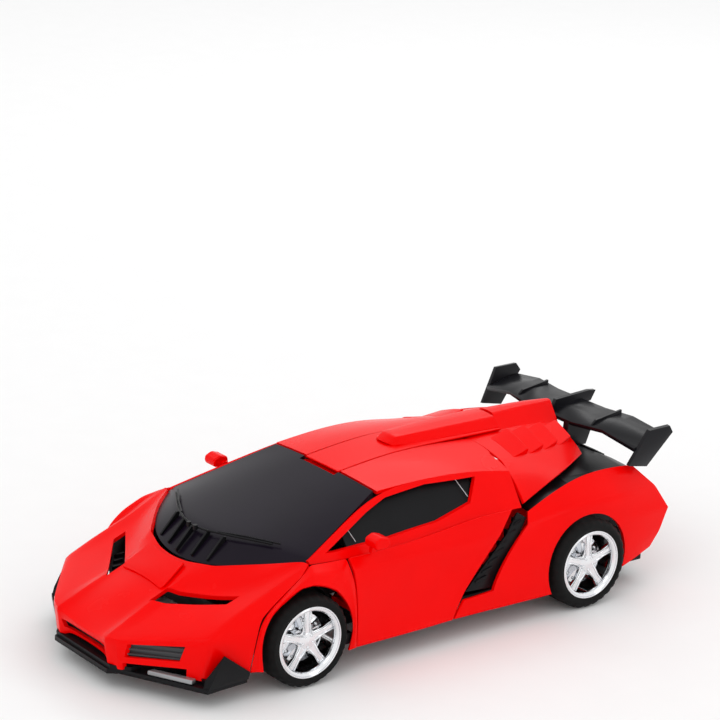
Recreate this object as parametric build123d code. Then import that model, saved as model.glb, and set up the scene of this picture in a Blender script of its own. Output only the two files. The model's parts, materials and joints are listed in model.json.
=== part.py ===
from build123d import *
import math
import os

os.makedirs("parts", exist_ok=True)

# Driving dimensions, mm. The car's nose faces -Y and its left flank is at +X.
WHEELBASE = 130.2
FRONT_AXLE_Y = -57.2
REAR_AXLE_Y = FRONT_AXLE_Y + WHEELBASE
FRONT_TYRE_R = 17.0
REAR_TYRE_R = 17.5
FRONT_TYRE_W = 13.0
REAR_TYRE_W = 15.0
WHEEL_FACE_X = 54.5
# The body is drawn on its own datum, which stands this far above the ground.
RIDE_HEIGHT = 3.0
FRONT_AXLE_Z = FRONT_TYRE_R - RIDE_HEIGHT
REAR_AXLE_Z = REAR_TYRE_R - RIDE_HEIGHT
RIM_R = 13.2
ARCH_GAP = 2.0
STUB_R = 1.5
RUNNING_GAP = 0.05
WALL = 1.4
SEAM = 0.5
HIP_Y = 47.0
HIP_Z = 57.0
CHEST_Y = -50.0
CHEST_Z = 26.0
CREST_Y = -12.0
CREST_Z = 55.1
DOOR_Y = -35.0
DOOR_Z = 32.0


def save(name, *solids):
    raised = [Pos(0, 0, RIDE_HEIGHT) * s for s in solids]
    export_step(raised[0] if len(raised) == 1 else Compound(children=raised), f"parts/{name}.step")


def block(x0, x1, y0, y1, z0, z1):
    box = Box(x1 - x0, y1 - y0, z1 - z0)
    return Pos((x0 + x1) / 2, (y0 + y1) / 2, (z0 + z1) / 2) * box


def side_prism(points, x0, x1):
    """A (y, z) outline carried along X from x0 to x1."""
    outline = Face(Wire.make_polygon([Vector(x0, y, z) for y, z in points]))
    return Solid.extrude(outline, Vector(x1 - x0, 0, 0))


def front_prism(points, y0, y1):
    """An (x, z) outline carried along Y from y0 to y1."""
    outline = Face(Wire.make_polygon([Vector(x, y0, z) for x, z in points]))
    return Solid.extrude(outline, Vector(0, y1 - y0, 0))


def plan_prism(points, z0, z1):
    """An (x, y) outline carried along Z from z0 to z1."""
    outline = Face(Wire.make_polygon([Vector(x, y, z0) for x, y in points]))
    return Solid.extrude(outline, Vector(0, 0, z1 - z0))


def rod_x(radius, x0, x1, y, z):
    return Solid.make_cylinder(radius, x1 - x0, Plane((x0, y, z), x_dir=(0, 1, 0), z_dir=(1, 0, 0)))


def rod_y(radius, x, y0, y1, z):
    return Solid.make_cylinder(radius, y1 - y0, Plane((x, y0, z), x_dir=(1, 0, 0), z_dir=(0, 1, 0)))


def rod_z(radius, x, y, z0, z1):
    return Solid.make_cylinder(radius, z1 - z0, Plane((x, y, z0)))


def mirrored(shape):
    return shape.mirror(Plane.YZ)


def full(row):
    """A half row from the centre line outwards, completed to both sides."""
    return [(-x, y, z) for x, y, z in reversed(row[1:])] + list(row)


def skin(rows, wall=WALL, inside=(0, 0, 15)):
    """A faceted panel: an outer grid of points and the same grid moved in by the wall."""
    grid = [[Vector(*p) for p in row] for row in rows]
    count, width = len(grid), len(grid[0])

    def cells(g):
        found = []
        for i in range(count - 1):
            for j in range(width - 1):
                a, b, c, d = g[i][j], g[i][j + 1], g[i + 1][j + 1], g[i + 1][j]
                found += [(a, b, c), (a, c, d)]
        return found

    def normal_at(i, j):
        total = Vector(0, 0, 0)
        for di, dj in ((-1, -1), (-1, 0), (0, -1), (0, 0)):
            if 0 <= i + di < count - 1 and 0 <= j + dj < width - 1:
                p, q = grid[i + di][j + dj], grid[i + di + 1][j + dj + 1]
                r, s = grid[i + di + 1][j + dj], grid[i + di][j + dj + 1]
                total += (q - p).cross(r - s).normalized()
        return total.normalized()

    middle = grid[count // 2][width // 2]
    probe = normal_at(count // 2, width // 2)
    away = middle - Vector(inside[0], middle.Y if inside[1] == "same" else inside[1], inside[2])
    sign = 1.0 if probe.dot(away) > 0 else -1.0
    inner = [[grid[i][j] - normal_at(i, j) * (wall * sign) for j in range(width)] for i in range(count)]
    faces = cells(grid)
    faces += [(a, c, b) for a, b, c in cells(inner)]

    def strip(outer_edge, inner_edge):
        for k in range(len(outer_edge) - 1):
            a, b = outer_edge[k], outer_edge[k + 1]
            c, d = inner_edge[k + 1], inner_edge[k]
            faces.append((a, c, b))
            faces.append((a, d, c))

    strip(grid[0], inner[0])
    strip(grid[-1][::-1], inner[-1][::-1])
    strip([row[0] for row in grid][::-1], [row[0] for row in inner][::-1])
    strip([row[-1] for row in grid], [row[-1] for row in inner])
    shell = Shell([Face(Wire.make_polygon(list(t))) for t in faces])
    solid = Solid(shell)
    if solid.volume < 0:
        shell = Shell([Face(Wire.make_polygon([t[0], t[2], t[1]])) for t in faces])
        solid = Solid(shell)
    return solid


def arch(y, radius, x0=30, x1=60):
    """The round wheel opening, cut as a 24-sided prism."""
    centre_z = FRONT_AXLE_Z + 0.5
    ring = [(y + radius * math.cos(math.radians(15 * k)),
             centre_z + radius * math.sin(math.radians(15 * k))) for k in range(24)]
    return side_prism(ring, x0, x1)


def tyre(radius, width, y, z):
    """A tyre lying along +X with rounded shoulders and a tread groove."""
    x1 = WHEEL_FACE_X
    x0 = x1 - width
    profile = [(x0 + 0.5, RIM_R), (x0, RIM_R + 1.4), (x0 + 0.6, radius - 1.0), (x0 + 1.8, radius),
               (x0 + width / 2 - 0.7, radius), (x0 + width / 2, radius - 0.7),
               (x0 + width / 2 + 0.7, radius), (x1 - 1.8, radius), (x1 - 0.6, radius - 1.0),
               (x1, RIM_R + 1.4), (x1 - 0.5, RIM_R)]
    outline = Face(Wire.make_polygon([Vector(x, 0, r) for x, r in profile]))
    return Pos(0, y, z) * Solid.revolve(outline, 360, Axis.X)


def rim(width, y, z, bore_r):
    """A five-spoke rim: barrel with an outer lip, spokes, hub and the brake ring behind."""
    x1 = WHEEL_FACE_X - 0.3
    x0 = x1 - width + 1.0
    barrel = [(x0, RIM_R), (x0, RIM_R - 1.0), (x1 - 1.2, RIM_R - 1.0), (x1 - 0.4, RIM_R - 1.5),
              (x1 + 0.2, RIM_R - 1.0), (x1 + 0.2, RIM_R)]
    wheel = Solid.revolve(Face(Wire.make_polygon([Vector(x, 0, r) for x, r in barrel])), 360, Axis.X)
    hub = rod_x(3.6, x1 - 7.5, x1 - 1.2, 0, 0)
    wheel = wheel + hub
    for k in range(5):
        spoke = front_prism([(x1 - 3.2, 2.5), (x1 - 1.0, 2.5), (x1 - 0.6, RIM_R - 0.6), (x1 - 3.0, RIM_R - 0.6)],
                            -1.4, 1.4)
        wheel = wheel + spoke.rotate(Axis.X, 90 + 72 * k)
    disc = rod_x(8.5, x1 - 6.5, x1 - 5.3, 0, 0)
    wheel = wheel + disc
    wheel = wheel - rod_x(bore_r, x0 - 5, x1 - 2.4, 0, 0)
    return Pos(0, y, z) * wheel


# ---------------------------------------------------------------- base: chassis and legs
FLOOR = [(-33, -16), (33, -16), (36, 8), (36, 50), (33, 54), (33, 96), (40, 98), (40, 112),
         (-40, 112), (-40, 98), (-33, 96), (-33, 54), (-36, 50), (-36, 8)]
chassis = plan_prism(FLOOR, 3.5, 6)
chassis += block(-12.4, 12.4, -10, 12, 6, 9)
chassis += block(-12.4, 12.4, 18.5, 46, 6, 16)
for x in (-17, 13):
    chassis += block(x, x + 4, -14, -8, 0.4 - RIDE_HEIGHT, 4)
for x in (-33, 31.6):
    chassis += block(x, x + 1.4, -10, 64, 6, 12)
chassis += block(-40, 40, 96.6, 98, 6, 14)
chassis -= block(-9, 9, 20, 44, 3, 14.5)
chassis -= block(-2.6, 2.6, -8.2, 1.8, 3, 7.5)
SCREWS = [(-26, -8), (26, -8), (-26, 88), (26, 88)]
for x, y in SCREWS:
    chassis += rod_z(3.0, x, y, 6, 11)
    chassis -= rod_z(1.25, x, y, 3, 9.5)
    chassis -= rod_z(2.35, x, y, 3, 4.8)
save("base_chassis", chassis)
screws = [rod_z(1.2, x, y, 4.75, 9.0) + rod_z(2.2, x, y, 3.7, 4.75) - block(x - 1.6, x + 1.6, y - 0.3, y + 0.3, 3.6, 4.2)
          for x, y in SCREWS]
save("screws", *screws)
save("battery_door", block(-8.7, 8.7, 20.3, 43.7, 3.5, 5.0))
battery = [rod_y(3.6, x, 21, 42.6, 9.6) + rod_y(1.2, x, 42.6, 43.4, 9.6) for x in (-4.3, 4.3)]
save("battery_pack", *battery)
save("power_switch", block(-1.9, 1.9, -7.6, -2.2, 3.2, 7.2))

BOOT = [(-17.5, 6.1), (-17.5, 8.6), (8, 9.6), (13, 20.5), (38, 22), (48.9, 23.5), (48.9, 46.5), (70, 46.5), (72, 43), (72, 6.1)]
BOOT_HOLLOW = [(-15.5, 6), (-15.5, 7.2), (9, 8.2), (14.4, 19), (38, 20.5), (50.4, 22.2), (50.4, 45),
               (69.2, 45), (70.5, 42.5), (70.5, 6)]
boot = side_prism(BOOT, 13, 30.5) - side_prism(BOOT_HOLLOW, 14.5, 29)
boot += block(18, 25.5, 48.1, 49, 26, 45)
boot -= rod_x(STUB_R + 1.2, 12, 32, REAR_AXLE_Y, REAR_AXLE_Z)
boot -= rod_z(3.2, 26, -8, 6, 11.2)
save("left_boot", boot)
save("right_boot", mirrored(boot))

# ---------------------------------------------------------------- base: drive and wheels
drive = block(-12, 12, 66, 80, 9, 26) + block(-30, 30, 72.5, 84, 7, 9.5) + block(-9, 9, 52, 66, 9, 24)
drive += block(30.9, 34.5, 69, 77, 7, 22)
drive += block(-34.5, -30.9, 69, 77, 7, 22)
drive += block(-34.5, -30, 73, 77, 7, 9.5) + block(30, 34.5, 73, 77, 7, 9.5)
drive -= rod_x(STUB_R + RUNNING_GAP, -36, 36, REAR_AXLE_Y, REAR_AXLE_Z)
boot_room = block(12.4, 30.7, 40, 72.3, 6, 27)
drive = drive - boot_room - mirrored(boot_room)
save("drive_unit", drive)

axle = rod_x(STUB_R, 4, 48.5, REAR_AXLE_Y, REAR_AXLE_Z)
axle += rod_x(2.6, 13.5, 15.5, REAR_AXLE_Y, REAR_AXLE_Z)
left_rim = rim(REAR_TYRE_W, REAR_AXLE_Y, REAR_AXLE_Z, STUB_R + 0.001)
left_tyre = tyre(REAR_TYRE_R, REAR_TYRE_W, REAR_AXLE_Y, REAR_AXLE_Z)
for side, turn in (("left", lambda s: s), ("right", mirrored)):
    save(f"{side}_rear_axle", turn(axle))
    save(f"{side}_rear_rim", turn(left_rim))
    save(f"{side}_rear_tyre", turn(left_tyre))

motor = rod_x(6.5, -10, 10, 57, 32) + rod_x(2, -12, -10, 57, 32)
save("transform_motor", motor)

# ---------------------------------------------------------------- base: body panels
quarter = skin([
    [(46.2, 47.6, 38.6), (45.5, 60, 43.5), (43.5, 75, 46.6), (42.2, 91, 46.2), (41, 103.5, 44.4)],
    [(49.6, 45.2, 35), (51.5, 60, 37.5), (52, 75, 38.6), (50.6, 93, 37.4), (44.8, 112.8, 35.4)],
    [(51, 36, 27), (52.6, 56, 29), (53, 75, 30), (52, 95, 29), (48, 117.4, 26.5)],
    [(52, 27, 14.5), (53, 54, 17), (53, 75, 17), (52, 95, 17), (48.5, 113, 18)],
    [(52, 27, 6), (53, 54, 6), (53, 75, 6), (52, 92, 8.5), (48.5, 108.5, 12.3)],
])
sill = skin([
    [(51.5, 14.4, 12.5), (51.9, 20, 12.8), (52.1, 29, 13.4)],
    [(51.6, 9.8, 6), (51.9, 18, 6), (52.1, 29, 6)],
])
quarter = quarter + sill + block(33.2, 52, 40, 42, 6, 9)
quarter += block(37.5, 51.5, 98.5, 100.5, 14, 30)
quarter -= arch(REAR_AXLE_Y, REAR_TYRE_R + ARCH_GAP)
save("left_rear_quarter", quarter)
save("right_rear_quarter", mirrored(quarter))

intake = skin([
    [(45.2, 43.5, 38.8), (46.6, 46.6, 36.5)],
    [(47.6, 36.5, 32.0), (49.2, 40.5, 29.5)],
    [(50.2, 15.8, 15.0), (50.4, 27.4, 14.2)],
], wall=1.2)
for k in range(6):
    y = 20 + 4 * k
    z = 15.6 + 0.9 * (y - 18)
    x = 50.2 - 0.2 * (z - 15)
    intake += block(x - 2, x + 0.2, y + 1.5, y + 2.7, z - 1, z + 1.6)
save("left_side_intake", intake)
save("right_side_intake", mirrored(intake))

deck = skin([full(r) for r in [
    [(0, 48.4, 56.6), (11.4, 48.4, 56.6), (20, 48.4, 56), (30, 48.4, 53.4), (38.4, 48.4, 47.4), (43.6, 48.6, 41.2)],
    [(0, 64, 56.6), (10.6, 64, 57), (18, 64, 55.4), (27, 64, 52), (33.8, 64, 47.6), (38.6, 64, 44.4)],
    [(0, 80, 56), (9.4, 80, 56), (15, 80, 54), (23, 80, 50.5), (28, 80, 47.6), (31.6, 80, 45.6)],
    [(0, 94, 53.6), (7, 94, 53.6), (11.6, 94, 52), (18, 94, 49), (21, 94, 47.2), (23, 94, 45.4)],
]], wall=1.5)
spine = skin([full(r) for r in [
    [(0, 65, 62.6), (5, 65, 62), (9, 65, 57.6)],
    [(0, 84, 62.4), (4, 84, 61.6), (7.4, 84, 56.4)],
    [(0, 94.6, 61), (3.4, 94.6, 60.4), (6, 94.6, 53.6)],
]], wall=1.4)
deck = deck + spine
for k in range(4):
    y = 62 + 7.6 * k
    x = 19.5 - 1.8 * k
    louvre = side_prism([(y, 52 - k), (y + 5, 52 - k), (y + 5, 58 - 0.8 * k), (y, 53.4 - 0.8 * k)], x - 5, x + 5 - 0.6 * k)
    deck = deck + louvre + mirrored(louvre)
deck = deck - block(-29, 29, 40, 50.6, 52, 60)
deck += block(24.3, 28, 48.8, 52, 50, 56) + block(-28, -24.3, 48.8, 52, 50, 56)
for s in (-1, 1):
    lug = rod_x(2.6, 24.3, 28, HIP_Y, HIP_Z) + block(24.3, 28, HIP_Y, 52, HIP_Z - 2.6, HIP_Z - 0.4)
    deck += lug if s > 0 else mirrored(lug)
deck -= rod_x(STUB_R + 0.001, -30, 30, HIP_Y, HIP_Z)
save("rear_deck", deck)
hip_pin = rod_x(STUB_R, 19.8, 28, HIP_Y, HIP_Z)
save("hip_pins", hip_pin, mirrored(hip_pin))

bay = skin([full(r) for r in [
    [(0, 74, 44), (22, 74, 44), (33, 74, 42.5), (42.3, 74, 41)],
    [(0, 104, 43), (22, 104, 43), (32, 104, 42), (40, 104, 40)],
    [(0, 112.5, 39), (20, 112.5, 39), (30, 112.5, 38.4), (38, 112.5, 37.6)],
]], wall=1.5)
side_bay = skin([
    [(36.4, 50.5, 38.5), (44.2, 50.5, 38.2)],
    [(34, 62, 41.2), (43.4, 62, 41)],
    [(31, 74.4, 42.6), (42, 74.4, 41)],
], wall=1.5)
bay = bay + side_bay + mirrored(side_bay)
for k in range(4):
    bay += block(-18, 18, 104.5 + 1.6 * k, 105.3 + 1.6 * k, 38.5 - k * 0.6, 43.4 - k * 0.9)
bay += block(-34, -32, 90, 92, 14, 42) + block(32, 34, 90, 92, 14, 42)
save("engine_grille", bay)

tail = skin([full(r) for r in [
    [(0, 111.5, 36), (20, 112.3, 36), (34, 113, 35), (45, 113.5, 31)],
    [(0, 115, 28), (20, 115.6, 28), (34, 115.6, 27.5), (46, 115.6, 26)],
    [(0, 112, 19), (20, 112, 19), (34, 111.5, 19), (46, 110, 18.5)],
]], wall=1.4, inside=(0, 60, 25))
lamp_cut = front_prism([(26, 29), (42, 29), (43, 26.5), (39, 24.5), (26, 25.5)], 100, 120)
tail = tail - lamp_cut - mirrored(lamp_cut)
save("tail_panel", tail)
lights = skin([full(r) for r in [
    [(0, 111.3, 30), (25, 111.9, 30), (43.8, 112.4, 29.6)],
    [(0, 112.2, 27), (25, 112.6, 27), (43.8, 112.6, 26.4)],
    [(0, 111.2, 24), (25, 111.2, 24), (43.8, 110.8, 24)],
]], wall=1.0, inside=(0, 60, 27))
save("tail_lights", lights)
diffuser = block(-38, 38, 100.6, 114, 7, 8.6)
for x in (-30, -18, -6, 6, 18, 30):
    diffuser += side_prism([(100.6, 8.4), (114, 8.4), (116.5, 12), (110, 18), (100.6, 18)], x - 0.7, x + 0.7)
diffuser += block(-38, 38, 100.6, 102, 8, 18)
save("rear_diffuser", diffuser)

# ---------------------------------------------------------------- base: wing
blade = skin([full(r) for r in [
    [(0, 96, 55.2), (14, 96, 55.2), (28, 99, 55.6), (44.4, 101, 52.4)],
    [(0, 104, 57.4), (14, 104, 57.4), (28, 107, 57.6), (44.4, 108, 54.2)],
    [(0, 113, 58), (14, 113, 58), (28, 115, 58.2), (44.4, 117, 55.4)],
]], wall=1.6, inside=(0, "same", 20))
plate = side_prism([(98.5, 46), (108, 44), (119, 56.5), (117, 59.5), (106.5, 59.5)], 44.2, 45.8)
plate = plate.rotate(Axis((45, 105, 52), (0, 1, 0)), 8)
fin = side_prism([(97, 56), (117, 56.6), (119.4, 60.5), (116, 61), (99, 60.2)], -0.9, 0.9)
wing = blade + fin + plate + mirrored(plate)
for x in (-22, 22):
    wing += side_prism([(99, 56), (114, 57), (114, 59.4), (101, 57.6)], x - 0.5, x + 0.5)
save("rear_wing", wing)
strut = side_prism([(94.6, 44), (105.6, 43.9), (111, 56.8), (96.2, 54.8)], 9, 12)
supports = strut - blade
save("wing_supports", *[s for part in (supports, mirrored(supports)) for s in part.solids()[:1]])

# ---------------------------------------------------------------- torso
RAIL = [(-26, 14), (6.5, 14), (13, 24.6), (46, 24.6), (46, 40), (-26, 40)]
frame = side_prism(RAIL, 12, 22) + side_prism(RAIL, -22, -12)
frame += block(-12.2, 12.2, 12, 46, 36, 40) + block(-12.2, 12.2, -26, 12.2, 38, 40)
for s in (-1, 1):
    ear = block(20, 24, 41, 46, 38, 56) + block(20, 24, 44, 48.4, 52.5, 57) + rod_x(2.4, 20, 24, HIP_Y, HIP_Z)
    post = block(12.5, 14, 0, 34, 39.5, 54.6)
    yoke = block(21, 33, -30, -24, 29.5, 34.5) + block(28, 33, -50, -24, 29.5, 34.5)
    yoke += block(28, 33, -53, -47, 26, 34.5) + rod_x(3, 28, 33, CHEST_Y, CHEST_Z)
    part = ear + post + yoke
    frame += part if s > 0 else mirrored(part)
frame -= rod_x(STUB_R + RUNNING_GAP, -34, 34, CHEST_Y, CHEST_Z)
frame -= rod_x(STUB_R + RUNNING_GAP, -25, 25, HIP_Y, HIP_Z)
save("torso_frame", frame)

chevron = plan_prism([(-20, -22), (-13, -22), (0, -8), (13, -22), (20, -22), (0, 0)], 11, 14)
save("breastplate", chevron)
belly = plan_prism([(-21, -19), (0, 3.4), (21, -19), (21, -6), (12, 6.3), (0, 17), (-12, 6.3), (-21, -6)], 11, 14)
belly += block(-11.9, 11.9, 0, 6.3, 13.9, 16.5)
save("torso_armor", belly)
pelvis = plan_prism([(-21.5, 19), (21.5, 19), (21.5, 25), (8, 33), (0, 36), (-8, 33), (-21.5, 25)], 23, 24.6)
save("pelvis_armor", pelvis)
save("pelvis_tip", plan_prism([(-7, 35.2), (0, 37.8), (7, 35.2), (4, 44), (-4, 44)], 23, 24.6)
     + block(-4, 4, 37.6, 44, 24.5, 36))
thigh = block(22.1, 28.5, 27, 46, 24, 37.8) + block(22.1, 24, 10, 27.2, 30, 38)
save("thighs", thigh, mirrored(thigh))
piston = rod_y(1.5, 30.4, 28, 45.5, 28) + block(28.6, 30.4, 34, 38, 26.8, 29.2)
save("thigh_pistons", piston, mirrored(piston))

ROOF = [
    [(0, -13.2, 55.9), (11, -13, 55.8), (21, -12.6, 55.2), (31.4, -12, 54.2)],
    [(0, 10, 58.7), (11, 10, 58.6), (21, 10, 58), (33, 10, 55.6)],
    [(0, 30, 58.3), (11, 30, 58.2), (21, 30, 57.6), (34.5, 30, 54.6)],
    [(0, 46.4, 57), (11, 46.4, 57), (21, 46.4, 56.6), (35.5, 46.4, 51.5)],
]
GUTTER = [(44.2, -51.5, 40.2), (37.8, -32, 47.4), (31.4, -12, 54.2), (33, 10, 55.6), (34.5, 30, 54.6), (35.5, 46.4, 51.5)]
BELT = [(44.8, -50.8, 39.2), (45.2, -32, 38.4), (45.2, -12, 38.4), (45.2, 10, 40.3), (44.8, 28, 42.4), (44.2, 46.4, 41)]
roof = skin([full(r) for r in ROOF])
flank = skin([GUTTER, BELT])
SIDE_GLASS = [(-42, 40.4), (-16, 40), (8, 41.6), (24.5, 45), (30.5, 52.6), (8, 53.6), (-10, 52)]
flank -= side_prism(SIDE_GLASS, 28, 50)
cabin = roof + flank + mirrored(flank)
cabin -= block(-10.9, 10.9, -13.6, 50, 50, 62)
FLOOR_LINE = [(-14.5, 52.4), (12, 54.6), (46.4, 55.4), (46.4, 56.5), (12, 55.7), (-10, 53.5), (-13.6, 53.3)]
cabin += side_prism(FLOOR_LINE, -12.4, 12.4)
cabin -= rod_x(0.8, -12, 12, CREST_Y, CREST_Z)
cabin -= block(19.6, 29, 39.6, 50, 50, 62) + block(-29, -19.6, 39.6, 50, 50, 62)
cabin -= block(12.2, 14.3, -0.5, 34.5, 38, 54.8) + block(-14.3, -12.2, -0.5, 34.5, 38, 54.8)
save("cabin_shell", cabin)

SCREEN = [full(r) for r in [
    [(0, -79.4, 33), (21, -74.8, 35), (36, -61.8, 37.9), (43.4, -51.9, 39.4)],
    [(0, -70.2, 42), (20, -65.5, 42.2), (34, -55.5, 42.2), (43, -50.2, 40.6)],
    [(0, -14.2, 55.6), (11, -14, 55.6), (20.6, -13.6, 55), (30.4, -13, 54.1)],
]]
glass = skin(SCREEN)
for k in (-2, -1, 0, 1, 2):
    rib = side_prism([(-77, 34.8), (-70.6, 41), (-70.6, 42.6), (-77.4, 36)], 7.5 * k - 0.6, 7.5 * k + 0.6)
    glass += Pos(0, 1.7 * abs(k), 0) * rib
wiper = Solid.make_cylinder(0.6, 34, Plane((-3, -70.6, 42.2), z_dir=(0.90, 0.39, 0.005)))
glass -= side_prism([(-19, 54), (-10, 54), (-10, 58), (-19, 58)], -10.9, 10.9)
far_wiper = Solid.make_cylinder(0.6, 26, Plane((-6, -69.3, 42.2), z_dir=(-0.90, 0.36, 0.005)))
save("windshield", glass + wiper + far_wiper)

pane = skin([[(x - 3.6, y, z - 0.8) for x, y, z in GUTTER[1:5]], [(x - 2.4, y, z + 0.6) for x, y, z in BELT[1:5]]], wall=1.0)
pane -= skin(SCREEN, wall=3.4)
pane -= block(10, 29, -40, 50, 40, 60)
save("left_side_window", pane)
save("right_side_window", mirrored(pane))

# ---------------------------------------------------------------- roof crest
CREST = [(CREST_Y, CREST_Z - 1.2), (12, 56.2), (46, 57.2), (63.5, 57.4), (63.5, 62.6), (40, 63), (17, 62.4), (13.5, 59.2), (8, 58.7),
         (CREST_Y, CREST_Z + 1.2)]
crest = side_prism(CREST, -10.3, 10.3) + rod_x(1.2, -10.3, 10.3, CREST_Y, CREST_Z)
slope = side_prism([(14.5, 59.2), (64, 59.2), (64, 64), (14.5, 64)], 0, 5).rotate(Axis((10.3, 0, 59.2), (0, 1, 0)), -52)
crest = crest - slope - mirrored(slope)
crest -= block(-7.5, 7.5, 20, 60, 56, 60.6)
crest -= front_prism([(-6, 60), (6, 60), (5, 61.6), (-5, 61.6)], 12, 21)
crest -= rod_x(0.8 + RUNNING_GAP, -12, 12, CREST_Y, CREST_Z)
save("roof_crest", crest)
pin = rod_x(0.8, -12, 12, CREST_Y, CREST_Z)
save("crest_pin", pin)

# ---------------------------------------------------------------- head
helmet = front_prism([(-9, 22.8), (-6, 21.6), (6, 21.6), (9, 22.8), (9, 34.3), (6.5, 36.5), (-6.5, 36.5), (-9, 34.3)],
                     -41, -17)
helmet -= front_prism([(-6.2, 18), (6.2, 18), (5.4, 25.8), (-5.4, 25.8)], -38, -20)
helmet += block(-1, 1, -43, -24, 33, 36.7)
for x in (-9.4, 8.9):
    helmet += block(x, x + 0.5, -36, -24, 24, 31)
save("helmet", helmet)
face = block(-5.2, 5.2, -37.8, -20.2, 22.2, 25.6)
face += front_prism([(-1.1, 22.3), (0, 21.6), (1.1, 22.3)], -31, -26)
for x in (-4.4, 1.0):
    face -= block(x, x + 3.4, -33.2, -31.4, 21, 23)
save("face_mask", face)
save("neck_post", block(-4, 4, -16.9, 12, 31, 35.6) + block(-6, 6, -16.9, -15.4, 24, 35.6))

# ---------------------------------------------------------------- chest: hood and nose
LIP = [(0, -114.5, 7.5), (18, -114.3, 7.5), (26, -112, 7.6), (41, -101, 8), (47.5, -97, 8.2), (50.8, -80.5, 7)]
EDGE = [(0, -117.5, 14), (18, -116.8, 16.8), (26, -113.5, 17.6), (40, -101, 20), (47, -95.5, 21), (51, -78, 18)]
CREASE = [(0, -104, 24), (15, -99, 24.4), (27, -93, 24.8), (39, -87, 25.6), (45.8, -84, 26.8), (50.6, -75.6, 26)]
STEP = [(0, -91, 29.6), (15, -87, 29), (29, -79, 29), (38.5, -72, 31), (45, -70, 32.2), (49.8, -68, 30.8)]
COWL = [(0, -80.8, 33.6), (21, -76.2, 35.6), (36, -63.2, 38.6), (43.4, -53.3, 39.9), (46, -52.4, 39.7), (48.6, -57.4, 36.8)]
hood = skin([full(r) for r in (LIP, EDGE, CREASE, STEP, COWL)], wall=1.5, inside=(0, -60, 10))
hood -= skin([[(x * 1.01, y - 0.5 * (1 - k), z + 0.2) for x, y, z in row] for k, row in enumerate(SCREEN)], wall=3.0)
GRILLE = [(24.5, 10.2), (38, 11.4), (39.5, 17.2), (25, 15.4)]
CENTRE_GRILLE = [(-14, 9.4), (14, 9.4), (14.5, 12.6), (-14.5, 12.6)]
VENT = [(14.5, -97.5), (25, -89.2), (36, -80.5), (36.5, -77), (26, -84.6), (14.5, -93)]
grille_cut = front_prism(GRILLE, -122, -94)
vent_cut = plan_prism(VENT, 22.6, 40)
hood -= front_prism(CENTRE_GRILLE, -122, -108)
for cut in (grille_cut, vent_cut):
    hood = hood - cut - mirrored(cut)
hood += block(-26, -23, -70, -62, 21.05, 33.4) + block(23, 26, -70, -62, 21.05, 33.4)
save("hood_shell", hood)

insert = skin([full([(x * 0.98, y + 2.0, z) for x, y, z in row[:4]]) for row in (
    [(0, -114.5, 9), (18, -114.3, 9), (26, -112, 9.4), (40, -101.6, 10)],
    [(0, -116, 13), (18, -115.8, 16), (26, -112.8, 16.6), (40, -101.2, 18.6)])], wall=1.0, inside=(0, -60, 10))
save("grille_insert", insert)
vents = plan_prism([(13, -98), (38, -82), (38, -76), (27, -82), (13, -91)], 20.6, 21.6)
for k in range(5):
    x = 16 + 4.6 * k
    y = -95.4 + 3.4 * k
    vents += block(x, x + 0.9, y, y + 4, 21.4, 22.8)
vents = vents + mirrored(vents) + block(-14, 14, -96, -93.5, 20.6, 21.6)
save("hood_vents", vents)

splitter = plan_prism([(0, -118), (17.5, -118), (20, -114.6), (52, -98.7), (51, -81.5), (45, -81.5), (42, -92), (17, -106), (0, -106)],
                      3.6, 5.4)
splitter += plan_prism([(0, -117), (18, -117), (24, -112), (24, -108), (0, -108)], 5.3, 6.8)
winglet = skin([
    [(50.4, -99.6, 5), (52, -98.2, 5), (51.6, -81.5, 5)],
    [(50.4, -98.6, 8.4), (52.6, -92, 16.4), (51.9, -80.8, 7.6)],
], wall=1.2)
splitter = splitter + winglet + block(44, 51.8, -97.6, -96, 5, 7.4)
splitter += block(30, 34, -100, -92, 5, 8) + block(-34, -30, -100, -92, 5, 8)
splitter = splitter + mirrored(splitter)
save("front_splitter", splitter)
lamp = plan_prism([(30, -109.4), (46, -101.3), (45, -98.8), (30, -106.4)], 5.5, 7.3)
save("left_fog_lamp", lamp)
save("right_fog_lamp", mirrored(lamp))

beam = block(-26, 26, -71, -52, 11, 21) - block(-27, 27, -60.2, -53.8, 12.8, 19.2) - block(-27, 27, -68.2, -61.8, 12.8, 19.2)
beam += block(-22, 22, -74, -70.9, 12, 20)
beam -= block(-10.5, 10.5, -54.4, -50, 10, 22) + block(-10.5, 10.5, -75, -50, 19.1, 22)
for s in (-1, 1):
    lug = block(23, 27.5, -56, -50, 20.8, 26) + rod_x(3, 23, 27.5, CHEST_Y, CHEST_Z) + rod_x(STUB_R, 27.4, 33.4, CHEST_Y, CHEST_Z)
    beam += lug if s > 0 else mirrored(lug)
save("shoulder_beam", beam)

# ---------------------------------------------------------------- arms
FENDER_EDGE = [(52.2, -35.5, 6), (52.4, -35.5, 14), (52, -35.5, 24), (50.4, -36, 32.4), (46.3, -36.8, 38.2),
               (46.3, -44, 38.6), (46.6, -51.6, 39.1), (48.9, -57.2, 36.2), (50.1, -67.2, 30.5), (50.9, -74.9, 26),
               (51.3, -77.3, 18), (51.1, -79.8, 7)]
ARCH_ANGLES = [-25, -5, 12, 30, 50, 66, 82, 98, 122, 145, 172, 203]
ARCH_R = FRONT_TYRE_R + ARCH_GAP + 1.2
ARCH_EDGE = [(52.7, FRONT_AXLE_Y + ARCH_R * math.cos(math.radians(a)), 14.5 + ARCH_R * math.sin(math.radians(a)))
             for a in ARCH_ANGLES]
BULGE = [((p[0] + q[0]) / 2 + 0.8, (p[1] + q[1]) / 2, (p[2] + q[2]) / 2 + 0.5) for p, q in zip(FENDER_EDGE, ARCH_EDGE)]
fender = skin([FENDER_EDGE, BULGE, ARCH_EDGE], wall=1.2)
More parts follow.
